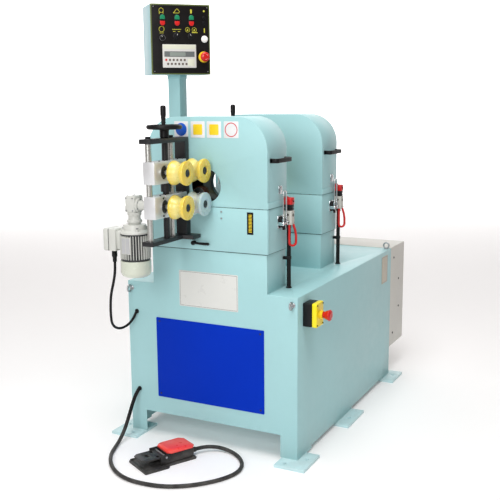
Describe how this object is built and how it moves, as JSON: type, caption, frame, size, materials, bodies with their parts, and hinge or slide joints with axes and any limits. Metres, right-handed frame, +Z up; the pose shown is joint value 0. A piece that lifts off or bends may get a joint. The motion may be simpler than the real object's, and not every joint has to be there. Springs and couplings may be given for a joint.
{
  "type": "tube polishing machine",
  "caption": "Floor-standing tube polishing machine: welded base cabinet with hooded polishing heads in line, feed roller units with handwheels, a swivelling control box and a foot switch.",
  "frame": {"origin": "floor level at the plan centre of the base, the centre of its side anchor holes", "axes": "+Z up, +X to the right of a person who faces the feed side, +Y in the direction of feed"},
  "size_m": [1.0129, 1.8932, 1.8613],
  "materials": {
    "machine_paint": "satin turquoise paint",
    "blue_sheet": "satin blue paint",
    "white_plate": "satin white",
    "cabinet_paint": "beige grey texture paint",
    "steel": "ground steel",
    "chrome": "hard chrome",
    "black_steel": "black oxide",
    "black_plastic": "moulded black plastic",
    "aluminium": "milled",
    "motor_grey": "grey enamel on cast aluminium",
    "yellow_polyurethane": "cast polyurethane, satin",
    "grey_polyurethane": "cast polyurethane, satin",
    "control_black": "fine black texture",
    "safety_yellow": "satin",
    "safety_red": "semi gloss",
    "belt_abrasive": "abrasive cloth",
    "cord_rubber": "matt black"
  },
  "bodies": {
    "root": {"base_front_panel": "machine_paint", "base_rear_panel": "machine_paint", "base_side_panels": "machine_paint", "base_top_plate": "machine_paint", "base_floor_pan": "machine_paint", "foot_plates": "machine_paint", "head_pedestals": "machine_paint", "head_housings": "machine_paint", "spindle_bearings": "black_steel", "hood_hinges": "steel", "roller_frames": "black_steel", "guide_rods": "chrome", "lower_roller_blocks": "aluminium", "lower_rollers_2": "yellow_polyurethane", "gear_motors": "motor_grey", "terminal_boxes": "motor_grey", "cord_glands": "black_plastic", "clamp_levers": "black_plastic", "control_post": "machine_paint", "stop_station": "safety_yellow", "latch_bases": "steel", "interlock_switches": "motor_grey", "interlock_hoses": "cord_rubber", "electrical_cabinet": "cabinet_paint", "cabinet_covers": "cabinet_paint", "cover_plate": "blue_sheet", "blank_plates": "white_plate", "lifting_eyes": "steel", "foot_switch_base": "black_plastic", "foot_switch_cover": "safety_red", "motor_cord": "cord_rubber", "foot_switch_cord": "cord_rubber"},
    "hood_1": {"hood_faces_1": "machine_paint", "hood_shell_1": "machine_paint", "hood_fittings_1": "black_plastic"},
    "handwheel_1": {"handwheel_1": "black_plastic"},
    "rotor_1": {"rotor_1": "black_steel", "polishing_belts_1": "belt_abrasive"},
    "hood_latch_1": {"hood_latch_1": "chrome"},
    "hood_2": {"hood_faces_2": "machine_paint", "hood_shell_2": "machine_paint", "hood_fittings_2": "black_plastic"},
    "handwheel_2": {"handwheel_2": "black_plastic"},
    "rotor_2": {"rotor_2": "black_steel", "polishing_belts_2": "belt_abrasive"},
    "hood_latch_2": {"hood_latch_2": "chrome"},
    "carriage_1": {"upper_roller_block_1": "aluminium"},
    "carriage_2": {"upper_roller_block_2": "aluminium", "upper_rollers_2": "yellow_polyurethane"},
    "roller_upper_front": {"roller_upper_front": "yellow_polyurethane"},
    "roller_upper_rear": {"roller_upper_rear": "yellow_polyurethane"},
    "roller_lower_front": {"roller_lower_front": "yellow_polyurethane"},
    "roller_lower_rear": {"roller_lower_rear": "grey_polyurethane"},
    "control_box": {"control_box": "control_black", "control_panel": "control_black"},
    "panel_stop_button": {"panel_stop_button": "safety_red"},
    "side_stop_button": {"side_stop_button": "safety_red"},
    "foot_pedal": {"foot_pedal": "black_plastic"}
  },
  "joints": [
    {"name": "hood_1_hinge", "type": "hinge", "parent": "root", "child": "hood_1", "pos_m": [-0.281, -0.519, 1.025], "axis": [0, -1, 0], "range_deg": [0, 100]},
    {"name": "hood_latch_1_hinge", "type": "hinge", "parent": "root", "child": "hood_latch_1", "pos_m": [0.296, -0.498, 0.959], "axis": [0, 1, 0], "range_deg": [0, 170]},
    {"name": "handwheel_1_turn", "type": "hinge", "parent": "root", "child": "handwheel_1", "pos_m": [-0.1, -0.753, 1.347], "axis": [0, 0, -1], "range_deg": [-360, 5400]},
    {"name": "carriage_1_slide", "type": "slide", "parent": "root", "child": "carriage_1", "axis": [0, 0, 1], "range_m": [-0.004, 0.06]},
    {"name": "rotor_1_spin", "type": "hinge", "parent": "root", "child": "rotor_1", "pos_m": [0, -0.512, 1.11], "axis": [0, 1, 0], "continuous": true},
    {"name": "hood_2_hinge", "type": "hinge", "parent": "root", "child": "hood_2", "pos_m": [-0.281, 0.045, 1.025], "axis": [0, -1, 0], "range_deg": [0, 100]},
    {"name": "hood_latch_2_hinge", "type": "hinge", "parent": "root", "child": "hood_latch_2", "pos_m": [0.296, 0.066, 0.959], "axis": [0, 1, 0], "range_deg": [0, 170]},
    {"name": "handwheel_2_turn", "type": "hinge", "parent": "root", "child": "handwheel_2", "pos_m": [-0.1, -0.189, 1.347], "axis": [0, 0, -1], "range_deg": [-360, 5400]},
    {"name": "carriage_2_slide", "type": "slide", "parent": "root", "child": "carriage_2", "axis": [0, 0, 1], "range_m": [-0.004, 0.06]},
    {"name": "rotor_2_spin", "type": "hinge", "parent": "root", "child": "rotor_2", "pos_m": [0, 0.052, 1.11], "axis": [0, 1, 0], "continuous": true},
    {"name": "roller_upper_front_spin", "type": "hinge", "parent": "carriage_1", "child": "roller_upper_front", "pos_m": [0, -0.804, 1.176], "axis": [1, 0, 0], "continuous": true},
    {"name": "roller_upper_rear_spin", "type": "hinge", "parent": "carriage_1", "child": "roller_upper_rear", "pos_m": [0, -0.673, 1.176], "axis": [1, 0, 0], "continuous": true},
    {"name": "roller_lower_front_spin", "type": "hinge", "parent": "root", "child": "roller_lower_front", "pos_m": [0, -0.804, 1.044], "axis": [1, 0, 0], "continuous": true},
    {"name": "roller_lower_rear_spin", "type": "hinge", "parent": "root", "child": "roller_lower_rear", "pos_m": [0, -0.673, 1.044], "axis": [1, 0, 0], "continuous": true},
    {"name": "control_box_swivel", "type": "hinge", "parent": "root", "child": "control_box", "pos_m": [-0.355, -0.236, 1.56], "axis": [0, 0, 1], "range_deg": [-45, 45]},
    {"name": "panel_stop_push", "type": "slide", "parent": "control_box", "child": "panel_stop_button", "axis": [-0.7071, 0.7071, 0], "range_m": [0, 0.005]},
    {"name": "side_stop_push", "type": "slide", "parent": "root", "child": "side_stop_button", "axis": [-1, 0, 0], "range_m": [0, 0.005]},
    {"name": "foot_pedal_press", "type": "hinge", "parent": "root", "child": "foot_pedal", "pos_m": [-0.1052, -0.83616, 0.038], "axis": [0.8771, -0.4802, 0], "range_deg": [0, 8], "stiffness_Nm_per_rad": 6, "springref_deg": -6.88}
  ],
  "couplings": [
    {"joint": "carriage_1_slide", "follows": "handwheel_1_turn", "m_per_rad": 0.00063662},
    {"joint": "carriage_2_slide", "follows": "handwheel_2_turn", "m_per_rad": 0.00063662}
  ]
}
